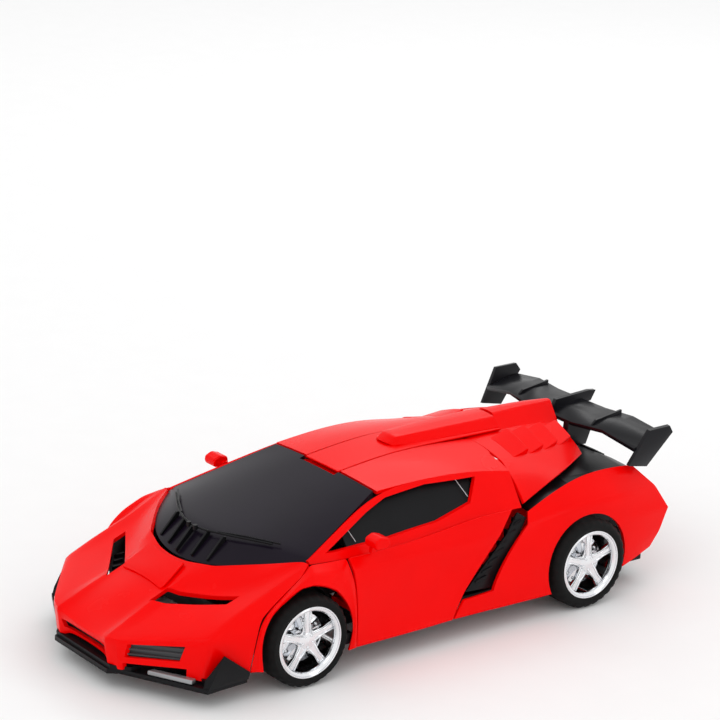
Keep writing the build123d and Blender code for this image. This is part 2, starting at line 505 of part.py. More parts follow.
liner = rod_x(19.1, 37.4, 48.2, FRONT_AXLE_Y, FRONT_AXLE_Z) - rod_x(18.2, 37, 49, FRONT_AXLE_Y, FRONT_AXLE_Z)
liner = liner & block(37, 43.4, -57, -30, 19.5, 40)
save("left_fender", fender)
save("right_fender", mirrored(fender))


def arm(y):
    bar = block(-18, 37.6, y - 3.0, y + 3.0, 13.0, 19.0)
    bar += block(34, 37.6, -70, -50, 12, 24)
    bar += block(34, 37.6, -64, -58, 10, 30)
    bar += rod_x(STUB_R, 37.5, 51.5, FRONT_AXLE_Y, FRONT_AXLE_Z)
    bar += block(34, 37.6, -50.2, -36.8, 8, 31) + block(36, 51.6, -39.6, -36.8, 8, 12)
    bar += liner
    bar += block(34, 41.2, -44, -37, 27, 31) + block(38.2, 41.2, -44, -32.8, 30.4, 33.8)
    bar -= rod_x(1.2 + RUNNING_GAP, 38, 42, DOOR_Y, DOOR_Z)
    return bar


save("left_arm_bar", arm(-57.0))
save("right_arm_bar", mirrored(arm(-65.0)))
front_rim = rim(FRONT_TYRE_W, FRONT_AXLE_Y, FRONT_AXLE_Z, STUB_R + RUNNING_GAP)
front_tyre = tyre(FRONT_TYRE_R, FRONT_TYRE_W, FRONT_AXLE_Y, FRONT_AXLE_Z)
for side, turn in (("left", lambda s: s), ("right", mirrored)):
    save(f"{side}_front_rim", turn(front_rim))
    save(f"{side}_front_tyre", turn(front_tyre))

door = skin([
    [(46.2, -34.9, 38.2), (46.2, -12, 38), (46.2, 8, 39.6), (46, 26, 41.4), (45.2, 41.5, 40.4)],
    [(49.8, -34.9, 34), (48.6, -12, 33.6), (48.2, 8, 33), (48.4, 24, 32.4), (47.4, 35.5, 32.4)],
    [(52, -34.9, 27.5), (49.6, -12, 25), (48.6, 8, 24), (48.8, 18, 23.6), (49.2, 25, 23.6)],
    [(52.4, -34.9, 14), (50.8, -12, 14.4), (50.2, 4, 14.6), (50.2, 10, 14.8), (50.4, 15, 15)],
    [(52.2, -34.9, 6), (52.4, -12, 6), (52, 2, 6), (51.8, 6, 6), (51.8, 9, 6)],
])
door += block(41.4, 49.2, -35.2, -31.6, 30.4, 33.6) + rod_x(1.2, 38.4, 41.6, DOOR_Y, DOOR_Z)
door += skin([[(45.8, -25.5, 38.6), (47.4, -25.5, 38.6)], [(47, -23.5, 44), (48.6, -23.5, 44)]], wall=1.6, inside=(47, 0, 41))
door += block(46.6, 54.6, -27, -23, 42.6, 46.2)
save("left_door", door)
save("right_door", mirrored(door))
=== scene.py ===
import json
import math

import bmesh
import bpy
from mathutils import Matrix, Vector


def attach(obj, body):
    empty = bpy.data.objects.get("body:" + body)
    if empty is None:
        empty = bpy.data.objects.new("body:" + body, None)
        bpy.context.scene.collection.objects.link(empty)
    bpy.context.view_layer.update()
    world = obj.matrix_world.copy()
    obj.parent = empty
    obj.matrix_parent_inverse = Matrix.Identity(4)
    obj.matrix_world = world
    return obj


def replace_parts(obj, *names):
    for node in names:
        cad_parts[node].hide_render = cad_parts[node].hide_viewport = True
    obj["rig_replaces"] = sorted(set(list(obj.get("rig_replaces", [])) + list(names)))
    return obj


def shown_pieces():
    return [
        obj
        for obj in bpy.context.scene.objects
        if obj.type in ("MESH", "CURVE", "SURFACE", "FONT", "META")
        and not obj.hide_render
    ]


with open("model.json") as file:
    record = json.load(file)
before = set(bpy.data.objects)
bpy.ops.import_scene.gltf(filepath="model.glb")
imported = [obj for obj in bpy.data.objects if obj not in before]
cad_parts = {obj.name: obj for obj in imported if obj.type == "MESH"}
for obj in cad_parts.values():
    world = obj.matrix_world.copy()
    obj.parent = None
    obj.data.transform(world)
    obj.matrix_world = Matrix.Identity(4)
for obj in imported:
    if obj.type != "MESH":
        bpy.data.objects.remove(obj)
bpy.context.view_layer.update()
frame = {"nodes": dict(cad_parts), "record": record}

MM = 0.001
LIFT = 3.0                  # the body's datum stands this far above the ground
FRONT_AXLE = (-57.2, 14.0)  # y and z of each axle
REAR_AXLE = (73.0, 14.5)
FRONT_TYRE, REAR_TYRE = 17.0, 17.5      # outer radii
FRONT_ARCH, REAR_ARCH = 20.2, 19.5      # radii of the wheel openings
ARCH_HEIGHT = 14.5          # z of the middle of both openings
HUB_FACE = 54.2             # x of the wheels' outer face
SPOKES = 5
BLOCK_DEPTH = 0.45          # how far the tread's grooves sink
NOISE_DETAIL = 3.0
BUMP_DISTANCE = 0.0002
EDGE_HOLD = 0.6             # crease of an open edge that names none
NODES = frame["nodes"]
BODY_OF = {n: b for b, ns in frame["record"]["behaviour"]["bodies"].items() for n in ns}
SLOT_OF = {s["node"]: s["material_slot"] for s in frame["record"]["subparts"]}


# ------------------------------------------------------------------ materials
def material(name, color, rough, metallic=0.0, coat=0.0, tint=0.06, scale=60.0, bump=0.02, bump_scale=900.0,
             rough_swing=0.06, spec=0.5):
    """A surface whose colour, roughness and height all vary a little, from object-space noise."""
    mat = bpy.data.materials.new(name)
    mat.use_nodes = True
    nodes, links = mat.node_tree.nodes, mat.node_tree.links
    bsdf = nodes["Principled BSDF"]
    coord = nodes.new("ShaderNodeTexCoord")
    noise = nodes.new("ShaderNodeTexNoise")
    noise.inputs["Scale"].default_value = scale
    noise.inputs["Detail"].default_value = NOISE_DETAIL
    links.new(coord.outputs["Object"], noise.inputs["Vector"])
    ramp = nodes.new("ShaderNodeValToRGB")
    ramp.color_ramp.elements[0].position = 0.3
    ramp.color_ramp.elements[1].position = 0.7
    ramp.color_ramp.elements[0].color = [c * (1 - tint) for c in color] + [1]
    ramp.color_ramp.elements[1].color = [min(1, c * (1 + tint)) for c in color] + [1]
    links.new(noise.outputs["Fac"], ramp.inputs["Fac"])
    links.new(ramp.outputs["Color"], bsdf.inputs["Base Color"])
    span = nodes.new("ShaderNodeMapRange")
    span.inputs["To Min"].default_value = max(0.02, rough - rough_swing)
    span.inputs["To Max"].default_value = rough + rough_swing
    links.new(noise.outputs["Fac"], span.inputs["Value"])
    links.new(span.outputs["Result"], bsdf.inputs["Roughness"])
    fine = nodes.new("ShaderNodeTexNoise")
    fine.inputs["Scale"].default_value = bump_scale
    links.new(coord.outputs["Object"], fine.inputs["Vector"])
    height = nodes.new("ShaderNodeBump")
    height.inputs["Strength"].default_value = bump
    height.inputs["Distance"].default_value = BUMP_DISTANCE
    links.new(fine.outputs["Fac"], height.inputs["Height"])
    links.new(height.outputs["Normal"], bsdf.inputs["Normal"])
    bsdf.inputs["Metallic"].default_value = metallic
    bsdf.inputs["Coat Weight"].default_value = coat
    bsdf.inputs["Coat Roughness"].default_value = 0.05
    bsdf.inputs["Specular IOR Level"].default_value = spec
    return mat


MATS = {
    "red_gloss": material("red_gloss", (0.9, 0.0, 0.0), 0.26, coat=0.02, tint=0.02, rough_swing=0.04,
                          spec=0.07),
    "black_satin": material("black_satin", (0.004, 0.004, 0.005), 0.42, tint=0.2, bump=0.12, spec=0.16),
    "silver_paint": material("silver_paint", (0.62, 0.63, 0.66), 0.3, metallic=0.85, bump=0.05),
    "chrome": material("chrome", (0.86, 0.87, 0.89), 0.1, metallic=1.0, tint=0.03, rough_swing=0.05),
    "tyre": material("tyre", (0.004, 0.004, 0.004), 0.6, tint=0.25, bump=0.3, bump_scale=1500, spec=0.14),
    "steel": material("steel", (0.5, 0.5, 0.52), 0.3, metallic=1.0, bump=0.08),
    "smoked_plastic": material("smoked_plastic", (0.007, 0.004, 0.010), 0.3, tint=0.1, rough_swing=0.04,
                               spec=0.13),
    "dark_grey": material("dark_grey", (0.055, 0.058, 0.062), 0.35, tint=0.12, bump=0.1, spec=0.3),
    "lens_red": material("lens_red", (0.4, 0.004, 0.004), 0.15, coat=0.6),
    "charcoal": material("charcoal", (0.006, 0.006, 0.008), 0.3, tint=0.12, bump=0.08, spec=0.2),
    "cell": material("cell", (0.08, 0.25, 0.12), 0.3),
}
LAMP = material("lamp_facets", (0.32, 0.33, 0.34), 0.25, metallic=0.6)
# pale grey for the thin lines on the side glass: a painted highlight where the glass catches the light
PAINTED_GLINT = material("painted_glint", (0.55, 0.56, 0.58), 0.4)


# ------------------------------------------------------------------ building helpers
def point(p):
    """A point in body millimetres as a place in the frame, in metres."""
    return Vector((p[0], p[1], p[2] + LIFT)) * MM


def new_object(name, verts, faces):
    """A mesh object from bare points and faces."""
    mesh = bpy.data.meshes.new(name)
    mesh.from_pydata([tuple(v) for v in verts], [], faces)
    mesh.update()
    obj = bpy.data.objects.new(name, mesh)
    bpy.context.scene.collection.objects.link(obj)
    return obj


def dress(obj, body, slot, *replaced, mat=None):
    """Gives a piece its finish, its body and the CAD nodes it stands for."""
    obj.data.materials.clear()
    obj.data.materials.append(mat or MATS[slot])
    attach(obj, body)
    if replaced:
        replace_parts(obj, *replaced)
    return obj


def mod(obj, kind, **settings):
    m = obj.modifiers.new(kind.lower(), kind)
    for key, value in settings.items():
        setattr(m, key, value)
    return m


def bevel(obj, width=0.3, angle=30, segments=2):
    mod(obj, "BEVEL", width=width * MM, segments=segments, limit_method="ANGLE",
        angle_limit=math.radians(angle), harden_normals=True)
    for f in obj.data.polygons:
        f.use_smooth = True
    return obj


def flipped(obj, name):
    """The same piece on the other side of the centre plane."""
    twin = obj.copy()
    twin.data = obj.data.copy()
    twin.name = name
    bpy.context.scene.collection.objects.link(twin)
    for v in twin.data.vertices:
        v.co.x = -v.co.x
    twin.data.flip_normals()
    return twin


def full(row):
    """A half row, from the centre plane out, with its mirror image."""
    return [(-x, y, z) for x, y, z in reversed(row[1:])] + list(row)


def grid(name, rows, row_crease=None, col_crease=None, level=2, wall=1.4, both=False, edge=0.25):
    """A moulded panel from its feature lines: smooth between them and crisp along the creased ones."""
    if both:
        rows = [full(r) for r in rows]
    width = len(rows[0])
    verts = [point(p) for r in rows for p in r]
    faces = [(i * width + j, i * width + j + 1, (i + 1) * width + j + 1, (i + 1) * width + j)
             for i in range(len(rows) - 1) for j in range(width - 1)]
    obj = new_object(name, verts, faces)
    crease = obj.data.attributes.new("crease_edge", "FLOAT", "EDGE")
    row_crease, col_crease = row_crease or {}, col_crease or {}
    middle = (width - 1) // 2
    for e in obj.data.edges:
        (i, j), (k, m) = [divmod(v, width) for v in e.vertices]
        if i == k:
            value = row_crease.get(i, 0)
            if isinstance(value, tuple):
                span, value = value[:2], value[2]
                inner = min(abs(j - middle), abs(m - middle)) if both else min(j, m)
                value = value if span[0] <= inner < span[1] else 0
        else:
            value = col_crease.get(abs(j - middle) if both else j, 0)
        if i == k and i in (0, len(rows) - 1) and value == 0:
            value = EDGE_HOLD
        crease.data[e.index].value = value
    for f in obj.data.polygons:
        f.use_smooth = True
    mod(obj, "SUBSURF", levels=level, render_levels=level, boundary_smooth="PRESERVE_CORNERS")
    outward = obj.data.polygons[len(faces) // 2].normal
    centre = sum((Vector(v) for v in verts), Vector()) / len(verts)
    away = centre - Vector((0, centre.y, 0.02)) if abs(centre.x) > 0.02 else Vector((0, -0.3, 1))
    if outward.dot(away) < 0:
        obj.data.flip_normals()
    mod(obj, "SOLIDIFY", thickness=wall * MM, offset=-1.0, use_even_offset=False)
    if edge:
        bevel(obj, edge, 50, 2)
    return obj


def prism(name, outline, axis, lo, hi):
    """A closed outline carried along one axis; used for cutters and for small add-on pieces."""
    order = {"x": lambda a, b, c: (c, a, b), "y": lambda a, b, c: (a, c, b),
             "z": lambda a, b, c: (a, b, c)}[axis]
    n = len(outline)
    verts = [point(order(a, b, lo)) for a, b in outline] + [point(order(a, b, hi)) for a, b in outline]
    faces = [tuple(range(n)), tuple(range(2 * n - 1, n - 1, -1))]
    faces += [(k, k + n, (k + 1) % n + n, (k + 1) % n) for k in range(n)]
    obj = new_object(name, verts, faces)
    tidy_normals(obj)
    return obj


def moulded(name, outline, axis, lo, hi, width, segments=3):
    """A prism with rounded edges."""
    return bevel(prism(name, outline, axis, lo, hi), width, 20, segments)


def cut(obj, *cutters):
    """Cuts openings, then leaves the piece as one finished mesh."""
    bevels = [(m.width, m.angle_limit) for m in obj.modifiers if m.type == "BEVEL"]
    for m in list(obj.modifiers):
        if m.type == "BEVEL":
            obj.modifiers.remove(m)
    for c in cutters:
        m = mod(obj, "BOOLEAN", operation="DIFFERENCE", solver="EXACT")
        m.object = c
    bake(obj)
    for c in cutters:
        bpy.data.objects.remove(c)
    for w, a in bevels:
        bevel(obj, w / MM, math.degrees(a), 2)
    return obj


def bake(obj):
    """Applies a piece's modifiers."""
    dg = bpy.context.evaluated_depsgraph_get()
    mesh = bpy.data.meshes.new_from_object(obj.evaluated_get(dg))
    obj.modifiers.clear()
    obj.data = mesh


def disc_ring(axle, radius, steps=48):
    """A circle about an axle, as (y, z) points."""
    turns = [2 * math.pi * k / steps for k in range(steps)]
    return [(axle[0] + radius * math.cos(a), axle[1] + radius * math.sin(a)) for a in turns]


def lathe(name, profile, axle, steps=72, tread=()):
    """A closed profile of (x, r) turned about the axle; every third step of the tread points sits lower."""
    verts = []
    for k in range(steps):
        a = 2 * math.pi * k / steps
        for i, (x, r) in enumerate(profile):
            r = r - BLOCK_DEPTH if i in tread and k % 3 == 0 else r
            verts.append(point((x, axle[0] + r * math.cos(a), axle[1] + r * math.sin(a))))
    n = len(profile)
    faces = [(k * n + i, ((k + 1) % steps) * n + i, ((k + 1) % steps) * n + (i + 1) % n, k * n + (i + 1) % n)
             for k in range(steps) for i in range(n)]
    obj = new_object(name, verts, faces)
    tidy_normals(obj)
    return obj


def tidy_normals(obj):
    """Turns every face outward."""
    bm = bmesh.new()
    bm.from_mesh(obj.data)
    bmesh.ops.recalc_face_normals(bm, faces=bm.faces)
    bm.to_mesh(obj.data)
    bm.free()


def tube(name, path, radius, sides=10):
    """A round bar along a path of points, closed at both ends."""
    verts, faces = [], []
    pts = [point(p) for p in path]
    for i, p in enumerate(pts):
        along = (pts[min(i + 1, len(pts) - 1)] - pts[max(i - 1, 0)]).normalized()
        u = along.orthogonal().normalized()
        v = along.cross(u)
        turns = [2 * math.pi * k / sides for k in range(sides)]
        verts += [p + (u * math.cos(a) + v * math.sin(a)) * radius * MM for a in turns]
    for i in range(len(pts) - 1):
        near, far = i * sides, (i + 1) * sides
        faces += [(near + k, near + (k + 1) % sides, far + (k + 1) % sides, far + k) for k in range(sides)]
    faces += [tuple(range(sides)), tuple(range(len(verts) - sides, len(verts)))]
    obj = new_object(name, verts, faces)
    tidy_normals(obj)
    return obj


def merge(name, *objs):
    """Several shaped meshes become one piece."""
    bm = bmesh.new()
    for o in objs:
        bpy.context.view_layer.update()
        bake(o)
        bm.from_mesh(o.data)
    mesh = bpy.data.meshes.new(name)
    bm.to_mesh(mesh)
    bm.free()
    for o in objs:
        bpy.data.objects.remove(o)
    whole = bpy.data.objects.new(name, mesh)
    bpy.context.scene.collection.objects.link(whole)
    return whole


# ------------------------------------------------------------------ body panels
LIP = [(0, -114.5, 8.4), (12, -114.8, 8), (16, -116.6, 5.6), (20.8, -115, 5.6), (24, -113.4, 6),
       (40, -101.6, 6.4),
       (47.5, -97, 6.4), (50.8, -80.5, 7)]
EDGE = [(0, -117.2, 14), (12, -117.4, 15.4), (16, -118, 16.8), (20.8, -116.4, 17.2), (24, -114.6, 17.6),
        (40, -101.6, 20),
        (47, -95.5, 21), (51, -78, 18)]
CREASE = [(0, -104, 24), (12, -101, 24), (15.4, -99.4, 25), (19, -97, 24.2), (27, -93, 24.6), (39, -87, 25.6),
          (45.8, -84, 26.8), (50.6, -75.6, 26)]
STEP = [(0, -91, 29.4), (11, -88.6, 29.2), (14.6, -87.4, 29.6), (18, -85, 28.8), (29, -79, 28.6),
        (38.5, -72, 31),
        (45, -70, 32.2), (49.8, -68, 30.8)]
COWL = [(0, -79.9, 33.6), (9, -79, 34.2), (14, -77.5, 34.8), (21, -75.3, 35.6), (36, -62.6, 38.6),
        (43.4, -53.3, 39.9),
        (46, -52.4, 39.7), (48.6, -57.4, 36.8)]
hood = grid("hood", [LIP, EDGE, CREASE, STEP, COWL], {0: 0.9, 1: 0.85, 2: 0.3, 3: 0.3, 4: 1.0},
            {1: 0.3, 2: 0.95, 3: 0.5, 4: 0.3, 5: 0.3, 6: 0.6, 7: 1.0}, level=3, both=True)
GRILLE = [(23.2, 11), (39.4, 12.2), (41, 18), (24.6, 16.2)]
MOUTH = [(21.6, 2), (41.6, 2), (41.6, 9.8), (22.4, 8.6)]
VENT = [(14, -98.4), (25, -90), (37, -81), (37.4, -75.6), (26, -82.8), (14, -90.6)]


def both_sides(name, outline, axis, lo, hi):
    """A cutter and its mirror image."""
    mirrored = [(-a, b) for a, b in outline]
    return [prism(name, outline, axis, lo, hi), prism(name + "_m", mirrored, axis, lo, hi)]


cut(hood, *both_sides("slot", GRILLE, "y", -125, -94), *both_sides("mouth", MOUTH, "y", -125, -94),
    *both_sides("vent", VENT, "z", 15, 44),
    prism("throat", [(-14, 2), (14, 2), (13.4, 7.2), (-13.4, 7.2)], "y", -125, -106),
    prism("centre", [(-13.6, 9.8), (13.6, 9.8), (14.4, 12.8), (-14.4, 12.8)], "y", -125, -106))
dress(hood, "chest", "red_gloss", "hood_shell")
INSERT = [[(22.4, -112.2, 10), (32, -105.6, 10.6), (41.8, -98.6, 11)],
          [(23.2, -112.6, 18.4), (32, -105.8, 18.6), (42, -98.2, 19)]]
inserts = [grid("insert", INSERT, {0: 1, 1: 1}, {0: 1, 2: 1}, level=1, wall=1)]
inserts.append(flipped(inserts[0], "insert_m"))
inserts.append(prism("centre_bar", [(-16, -112.6), (16, -112.6), (16, -111.6), (-16, -111.6)], "z", 9, 13.6))
for k in range(3):
    inserts.append(tube("mesh_%d" % k, [(23.4, -113.1, 12 + 2 * k), (41.4, -99.3, 12.8 + 2 * k)], 0.3, 6))
    inserts.append(flipped(inserts[-1], "mesh_m_%d" % k))
dress(merge("nose_inserts", *inserts), "chest", "dark_grey", "grille_insert")
HOOD_STEP = [[(0, -92.6, 29.6), (12.4, -92.6, 28.2)], [(0, -91.4, 30.7), (12.8, -91, 29.3)],
             [(0, -82, 34.2), (10, -81, 34.6)]]
step = grid("hood_step", HOOD_STEP, {0: 1, 1: 1, 2: 1}, {1: 1}, level=2, wall=0.8, both=True)
dress(step, "chest", "red_gloss")


def default_piece(node, width=0.25, angle=30, trims=()):
    """The CAD solid with moulded edges and its own finish."""
    src = NODES[node]
    obj = src.copy()
    obj.data = src.data.copy()
    obj.name = "v_" + node
    for key in list(obj.keys()):
        del obj[key]
    obj.parent = None
    obj.hide_render = False
    obj.hide_viewport = False
    bpy.context.scene.collection.objects.link(obj)
    bm = bmesh.new()
    bm.from_mesh(obj.data)
    bmesh.ops.remove_doubles(bm, verts=bm.verts, dist=1e-6)
    bmesh.ops.dissolve_limit(bm, angle_limit=math.radians(2), verts=bm.verts, edges=bm.edges)
    bm.to_mesh(obj.data)
    bm.free()
    if trims:
        cut(obj, *trims)
    bevel(obj, width, angle)
    dress(obj, BODY_OF[node], SLOT_OF[node], node)
    return obj


def pair(obj, left_body, slot, left_node=None, mat=None):
    """Dresses a left piece and its mirror image on the right."""
    twin = flipped(obj, obj.name.replace("left", "right"))
    for piece, turn in ((obj, str), (twin, lambda t: t.replace("left", "right"))):
        nodes = [turn(left_node)] if left_node else []
        dress(piece, turn(left_body), slot, *nodes, mat=mat)


# front fender round its wheel arch
FENDER_EDGE = [(52.2, -35.1, 6), (52.4, -35.1, 14), (52, -35.1, 24), (50.4, -35.5, 32.4), (46.3, -36.2, 38.2),
               (46.3, -44, 38.6), (46.5, -51.9, 39.3), (48.8, -57.5, 36.6), (50, -67.7, 30.7),
               (50.8, -75.3, 26),
               (51.2, -77.8, 18), (51, -80.3, 7)]
ARCH_ANGLES = [-25, -5, 12, 30, 50, 66, 82, 98, 122, 145, 172, 203]
arch_edge = [(52.7, FRONT_AXLE[0] + FRONT_ARCH * math.cos(math.radians(a)),
              ARCH_HEIGHT + FRONT_ARCH * math.sin(math.radians(a))) for a in ARCH_ANGLES]
bulge = [((p[0] + q[0]) / 2 + 0.8, (p[1] + q[1]) / 2, (p[2] + q[2]) / 2 + 0.5)
         for p, q in zip(FENDER_EDGE, arch_edge)]
fender = grid("left_fender_skin", [FENDER_EDGE, bulge, arch_edge], {0: 1.0, 1: 0.3, 2: 1.0},
              {4: 0.6, 6: 0.5, 7: 0.4}, level=3, wall=1.2)
pair(fender, "left_arm", "red_gloss", "left_fender")

# door with its swaged side and mirror
door = grid("left_door_skin", [
    [(46.2, -34.9, 38.2), (46.2, -12, 38), (46.2, 8, 39.6), (46, 26, 41.4), (45.2, 41, 40.4)],
    [(49.8, -34.9, 34), (48.6, -12, 33.6), (48.2, 8, 33), (48.4, 24, 32.4), (47.4, 34, 32.4)],
    [(52, -34.9, 27.5), (49.6, -12, 25), (48.6, 8, 24), (48.8, 18, 23.6), (49.2, 23.8, 23.6)],
    [(52.4, -34.9, 14), (50.8, -12, 14.4), (50.2, 4, 14.6), (50.2, 10, 14.8), (50.4, 15, 15)],
    [(52.2, -34.9, 6), (52.4, -12, 6), (52, 2, 6), (51.8, 6, 6), (51.8, 9, 6)],
], {0: 1.0, 1: 0.6, 3: 0.35, 4: 1.0}, {0: 1.0, 4: 1.0}, level=3)
pair(door, "left_door_wing", "red_gloss", "left_door")
STALK = [(-26.5, 38.6), (-24.5, 38.6), (-23.6, 44.4), (-26, 44.4)]
mirror_arm = prism("left_mirror_stalk", STALK, "x", 46.4, 48.4)
bevel(mirror_arm, 0.4, 20, 3)
pair(mirror_arm, "left_door_wing", "red_gloss")
MIRROR = [(-29.5, 43.6), (-28.6, 42.2), (-24, 42), (-22.6, 43.4), (-23, 45.8), (-26.4, 46.8), (-29.2, 45.6)]
mirror_head = prism("left_mirror_head", MIRROR, "x", 47.6, 54.6)
bevel(mirror_head, 0.9, 15, 4)
pair(mirror_head, "left_door_wing", "red_gloss")

# rear quarter with its arch, and the sill under the side intake
quarter = grid("left_quarter_skin", [
    [(46.2, 47.6, 38.6), (45.5, 60, 43.5), (43.5, 75, 46.6), (42.2, 91, 46.2), (41, 103.5, 44.4)],
    [(49.6, 45.2, 35), (51.5, 60, 37.5), (52, 75, 38.6), (50.6, 93, 37.4), (44.8, 112.8, 35.4)],
    [(51, 36, 27), (52.6, 56, 29), (53, 75, 30), (52, 95, 29), (48, 117.4, 26.5)],
    [(52, 27, 14.5), (53, 54, 17), (53, 75, 17), (52, 95, 17), (48.5, 113, 18)],
    [(52, 27, 6), (53, 54, 6), (53, 75, 6), (52, 92, 8.5), (48.5, 108.5, 12.3)],
], {0: 1.0, 1: 0.75, 2: (3, 4, 1.0), 3: (3, 4, 0.8), 4: 1.0}, {0: 1.0, 4: 1.0}, level=3)
cut(quarter, prism("rear_arch", disc_ring((REAR_AXLE[0], ARCH_HEIGHT), REAR_ARCH), "x", 30, 60))
pair(quarter, "base", "red_gloss", "left_rear_quarter")
slats = []
for k in range(7):
    t = (k + 1) / 8
    y, z, x = 17 + 27 * t, 14.5 + 23 * t, 50.6 - 4.4 * t
    reach = y + 5.6 - 2.4 * t
    side = [(y, z), (reach, z + 1.2), (reach, z + 2), (y, z + 0.8)]
    slats.append(bevel(prism("slat", side, "x", x - 1.4, x + 0.3), 0.15))
pair(merge("left_intake_slats", *slats), "base", "black_satin")
sill = grid("left_sill_skin", [
    [(51.5, 14.4, 12.5), (51.9, 20, 12.8), (52.1, 28, 13.4)],
    [(51.6, 9.8, 6), (51.9, 18, 6), (52.1, 28, 6)],
], {0: 1, 1: 1}, {0: 1, 2: 1}, level=1)
pair(sill, "base", "red_gloss")

# cabin: roof, side frame with its window opening
ROOF = [
    [(0, -13.2, 55.9), (11, -13, 55.8), (21, -12.6, 55.2), (31.4, -12, 54.2)],
    [(0, 10, 58.7), (11, 10, 58.6), (21, 10, 58), (33, 10, 55.6)],
    [(0, 30, 58.3), (11, 30, 58.2), (21, 30, 57.6), (34.5, 30, 54.6)],
    [(0, 47, 57), (11, 47, 57), (21, 47, 56.6), (35.5, 46.8, 51.5)],
]
GUTTER = [(44.2, -51.5, 40.2), (37.8, -32, 47.4), (31.4, -12, 54.2), (33, 10, 55.6), (34.5, 30, 54.6),
          (35.5, 46.8, 51.5)]
BELT = [(44.6, -50.8, 38.6), (44.5, -32, 37), (44.5, -12, 36.8), (44.4, 10, 38.6), (44.1, 28, 40.4),
        (43.8, 46.6, 39.6)]
roof = grid("roof_skin", ROOF, {0: 1.0, 3: 1.0}, {3: 1.0}, level=3, both=True)
cut(roof, prism("flap_slot", [(-10.8, -14), (10.8, -14), (10.8, 60), (-10.8, 60)], "z", 50, 70),
    *both_sides("hinge_notch", [(23.9, 46.2), (28.4, 46.2), (28.4, 50), (23.9, 50)], "z", 50, 70))
dress(roof, "torso", "red_gloss", "cabin_shell")
FLOOR_LINE = [(-14.5, 52.4), (12, 54.6), (46.4, 55.4), (46.4, 56.5), (12, 55.7), (-10, 53.5), (-13.6, 53.3)]
recess = prism("roof_recess", FLOOR_LINE, "x", -12.4, 12.4)
dress(bevel(recess, 0.2), "torso", "red_gloss")
flank = grid("left_flank_skin", [GUTTER, BELT], {0: 1.0, 1: 1.0}, {0: 1.0, 5: 1.0}, level=3)
SIDE_GLASS = [(-43, 40.6), (-38, 40.2), (-16, 40), (8, 41.6), (24.5, 45), (30.5, 52.6), (8, 53.6),
              (-10, 52), (-20, 49)]
cut(flank, prism("window", SIDE_GLASS, "x", 20, 50))
pair(flank, "torso", "red_gloss")
pane_rows = [[(x - 3.4, y, z - 0.8) for x, y, z in GUTTER[1:5]],
             [(x - 2.6, y, z + 1.8) for x, y, z in BELT[1:5]]]
pane = grid("left_pane", pane_rows, {0: 1, 1: 1}, {0: 1, 3: 1}, level=2, wall=1.0)
pair(pane, "torso", "smoked_plastic", "left_side_window", mat=MATS["black_satin"])
# thin pale bars across two corners of each side glass: painted highlights standing in for glints on the glass
for path in ([(40.7, -28, 41.1), (36.4, -29.6, 45.9)], [(38.3, 25, 46.7), (33.2, 22.6, 52.6)]):
    glint = tube("left_glass_line", path, 0.14, 6)
    pair(glint, "torso", "smoked_plastic", mat=PAINTED_GLINT)

# windscreen with its cowl ribs and wipers
SCREEN = [
    [(0, -79.4, 33), (21, -74.8, 35), (36, -61.8, 37.9), (43.4, -51.9, 39.4)],
    [(0, -70.2, 42), (20, -65.5, 42.2), (34, -55.5, 42.2), (43, -50.2, 40.6)],
    [(0, -40, 48.6), (16, -38, 48.7), (27, -34, 48.6), (37, -32, 47.2)],
    [(0, -14.2, 55.6), (11, -14, 55.6), (20.6, -13.6, 55), (30.4, -13, 54.1)],
]
screen = grid("screen_skin", SCREEN, {0: 1.0, 1: 0.7, 3: 1.0}, {3: 1.0}, level=3, both=True)
cut(screen, prism("lip_notch", [(-10.7, -16.1), (10.7, -16.1), (10.7, -10), (-10.7, -10)], "z", 50, 62))
HEADER = [(-17.2, 53.2), (-15.7, 54.4), (-13.4, 53.4), (-13.4, 52.4), (-17.2, 52.4)]
header = prism("roof_header", HEADER, "x", -10.9, 10.9)
dress(bevel(header, 0.2), "torso", "red_gloss")
dress(screen, "torso", "smoked_plastic", "windshield")
ribs = []
for k in (-2, -1, 0, 1, 2):
    back = 1.7 * abs(k)
    side = [(y + back, z) for y, z in [(-77.6, 34.4), (-70.6, 41), (-69.8, 43), (-71.4, 43.2), (-78.2, 36)]]
    ribs.append(bevel(prism("rib_%d" % k, side, "x", 7.5 * k - 0.5, 7.5 * k + 0.5), 0.15))
for turn, first in ((1, (-3, -71, 42.8)), (-1, (3, -71, 42.8))):
    arm = [first, (turn * 8, -69.4, 43.5), (turn * 18, -65.4, 43.8), (turn * 31, -57.6, 43.4)]
    ribs.append(tube("wiper", arm, 0.4, 8))
    blade = [(turn * 12, -67.6, 43.9), (turn * 22, -62.4, 44.3), (turn * 33, -55.4, 43.6)]
    ribs.append(tube("blade", blade, 0.35, 6))
    ribs.append(tube("knuckle", [(turn * 2, -71, 42.4), (turn * 2, -71, 44.2)], 0.9, 10))
dress(merge("cowl_ribs", *ribs), "torso", "black_satin")

# roof crest: a flush flap whose scoop grows out of it
crest = grid("crest_plate", [
    [(0, -13.8, 55.8), (5, -13.8, 55.8), (10.2, -13.7, 55.7)],
    [(0, 10, 58.8), (5, 10, 58.8), (10.2, 10, 58.7)],
    [(0, 34, 58.6), (5, 34, 58.6), (10.3, 34, 58.4)],
    [(0, 63.5, 58.2), (5, 63.5, 58.2), (10.3, 63.5, 57.8)],
], {0: 1, 3: 1}, {2: 1.0}, level=2, wall=0.7, both=True)
dress(crest, "crest", "red_gloss", "roof_crest")
scoop = grid("crest_scoop", [
    [(0, 13.5, 59.3), (3.4, 14, 59.2), (5.2, 15.2, 58.6)],
    [(0, 17, 61.6), (4.2, 17.4, 61.2), (6.4, 18, 58.6)],
    [(0, 40, 62.2), (5.4, 40, 61.6), (8.6, 40, 58.4)],
    [(0, 63.4, 62.0), (5.6, 63.4, 61.4), (9.4, 63.4, 58)],
], {0: 1, 1: 0.6, 3: 1}, {1: 0.7, 2: 1.0}, level=3, wall=0.8, both=True)
dress(scoop, "crest", "red_gloss")
